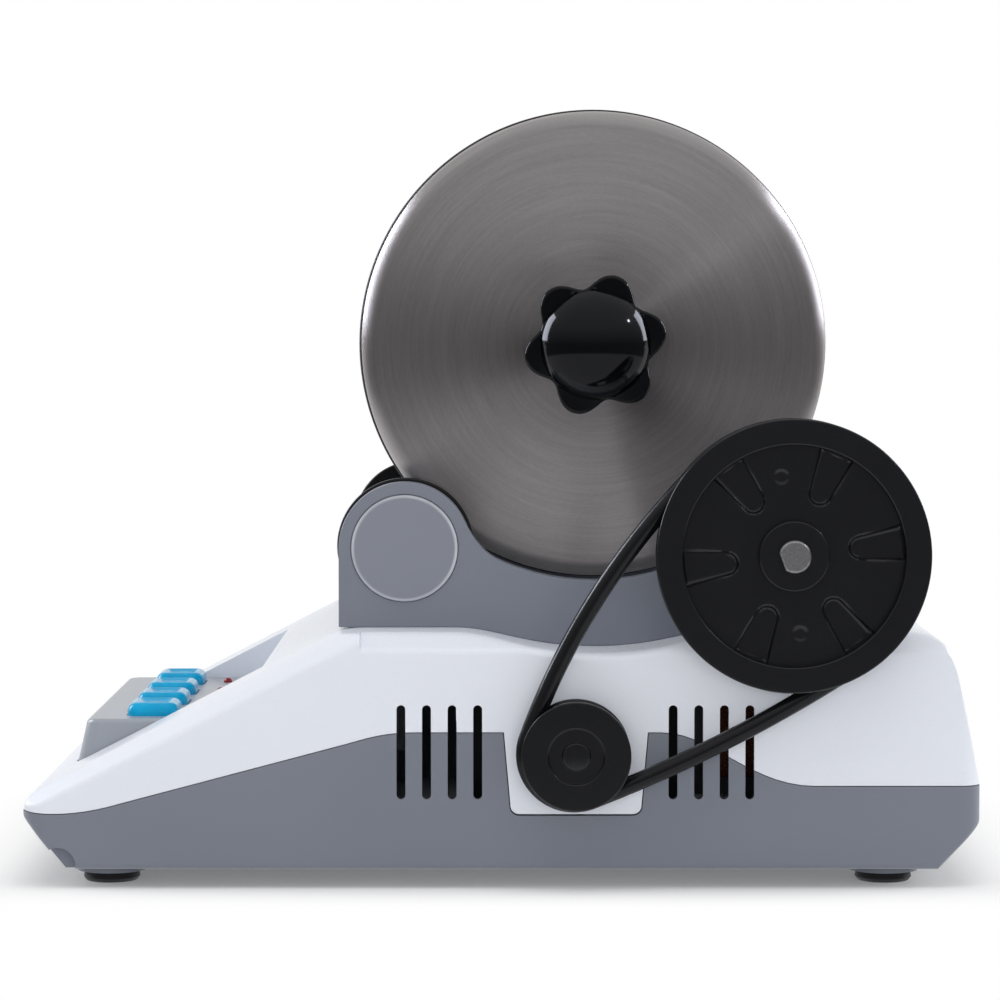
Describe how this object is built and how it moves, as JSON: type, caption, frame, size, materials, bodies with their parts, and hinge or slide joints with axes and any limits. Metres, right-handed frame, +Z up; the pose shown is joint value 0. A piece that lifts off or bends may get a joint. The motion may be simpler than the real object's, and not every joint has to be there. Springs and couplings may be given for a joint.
{
  "type": "drum tumbler",
  "caption": "Motor-driven drum tumbler for polishing stones and jewellery, with a closed rubber drum on driven rollers, a belt drive and a sloping console.",
  "frame": {"origin": "centre of the whole machine's footprint box, at the bottom of the feet", "axes": "+X from the front with the console to the rear, +Y from the belt side to the far side along the drum, +Z up"},
  "size_m": [0.301, 0.2224, 0.2463],
  "materials": {
    "white_plastic": "smooth satin",
    "grey_plastic": "fine satin grain",
    "console_plastic": "satin",
    "blue_plastic": "translucent, glossy",
    "lamp_plastic": "translucent red",
    "board": "coated laminate",
    "black_plastic": "satin moulded",
    "knob_plastic": "glossy",
    "bush_bronze": "sintered",
    "steel": "turned",
    "stainless": "circular brushed",
    "roller_rubber": "matt",
    "belt_rubber": "smooth, slightly glossy",
    "lamination": "stacked sheets",
    "copper": "lacquered winding",
    "cast_plate": "cast",
    "foot_rubber": "matt",
    "drum_rubber": "matt moulded",
    "seal_rubber": "matt",
    "brass": "knurled insert"
  },
  "bodies": {
    "housing": {"base_pan": "grey_plastic", "top_cover": "white_plastic", "control_console": "console_plastic", "indicator_leds": "lamp_plastic", "control_board": "board", "key_switches": "black_plastic", "belt_side_bracket": "grey_plastic", "far_side_bracket": "grey_plastic", "bearing_caps": "grey_plastic", "shaft_bushes": "bush_bronze", "drive_belt": "belt_rubber", "motor_stator": "lamination", "motor_windings": "copper", "motor_front_plate": "cast_plate", "motor_rear_plate": "cast_plate", "motor_mount": "cast_plate", "transformer_core": "lamination", "transformer_coil": "copper", "cord_gland": "black_plastic", "front_left_foot": "foot_rubber", "front_right_foot": "foot_rubber", "rear_left_foot": "foot_rubber", "rear_right_foot": "foot_rubber", "foot_screws": "steel", "housing_screws": "steel", "bracket_screws": "steel", "motor_screws": "steel", "board_screws": "steel"},
    "drum": {"drum_barrel": "drum_rubber", "drum_lid": "stainless", "drum_seal": "seal_rubber", "clamp_plate": "stainless", "clamp_stud": "steel"},
    "washer": {"knob_washer": "stainless"},
    "knob": {"clamp_knob": "knob_plastic", "knob_insert": "brass"},
    "front_roller": {"front_roller_shaft": "steel", "front_roller_sleeve": "roller_rubber", "front_roller_flanges": "black_plastic", "front_roller_clips": "steel"},
    "rear_roller": {"rear_roller_shaft": "steel", "rear_roller_sleeve": "roller_rubber", "rear_roller_flanges": "black_plastic", "rear_roller_clips": "steel", "driven_pulley": "black_plastic"},
    "motor_spindle": {"motor_rotor": "lamination", "motor_shaft": "steel", "motor_pulley": "black_plastic"},
    "power_button": {"power_button": "blue_plastic"},
    "timer_button": {"timer_button": "blue_plastic"},
    "direction_button": {"direction_button": "blue_plastic"},
    "speed_button": {"speed_button": "blue_plastic"}
  },
  "joints": [
    {"name": "drum_spin", "type": "hinge", "parent": "housing", "child": "drum", "pos_m": [0.0298, 0.00825, 0.17021], "axis": [0, 1, 0], "continuous": true},
    {"name": "front_roller_spin", "type": "hinge", "parent": "housing", "child": "front_roller", "pos_m": [-0.0308, 0.00825, 0.1053], "axis": [0, 1, 0], "continuous": true},
    {"name": "rear_roller_spin", "type": "hinge", "parent": "housing", "child": "rear_roller", "pos_m": [0.0904, 0.00825, 0.1053], "axis": [0, 1, 0], "continuous": true},
    {"name": "motor_spin", "type": "hinge", "parent": "housing", "child": "motor_spindle", "pos_m": [0.0233, 0.00825, 0.0432], "axis": [0, 1, 0], "continuous": true},
    {"name": "knob_turn", "type": "hinge", "parent": "washer", "child": "knob", "pos_m": [0.0298, 0.00825, 0.17021], "axis": [0, -1, 0], "range_deg": [0, 2880]},
    {"name": "knob_travel", "type": "slide", "parent": "drum", "child": "washer", "axis": [0, -1, 0], "range_m": [0, 0.0102]},
    {"name": "power_press", "type": "slide", "parent": "housing", "child": "power_button", "axis": [0, 0, -1], "range_m": [0, 0.0012], "stiffness_N_per_m": 400},
    {"name": "timer_press", "type": "slide", "parent": "housing", "child": "timer_button", "axis": [0, 0, -1], "range_m": [0, 0.0012], "stiffness_N_per_m": 400},
    {"name": "direction_press", "type": "slide", "parent": "housing", "child": "direction_button", "axis": [0, 0, -1], "range_m": [0, 0.0012], "stiffness_N_per_m": 400},
    {"name": "speed_press", "type": "slide", "parent": "housing", "child": "speed_button", "axis": [0, 0, -1], "range_m": [0, 0.0012], "stiffness_N_per_m": 400}
  ],
  "couplings": [
    {"joint": "front_roller_spin", "follows": "drum_spin", "ratio": -6.1371},
    {"joint": "rear_roller_spin", "follows": "drum_spin", "ratio": -6.1371},
    {"joint": "motor_spin", "follows": "drum_spin", "ratio": -15.804},
    {"joint": "knob_travel", "follows": "knob_turn", "m_per_rad": 0.00019894}
  ]
}
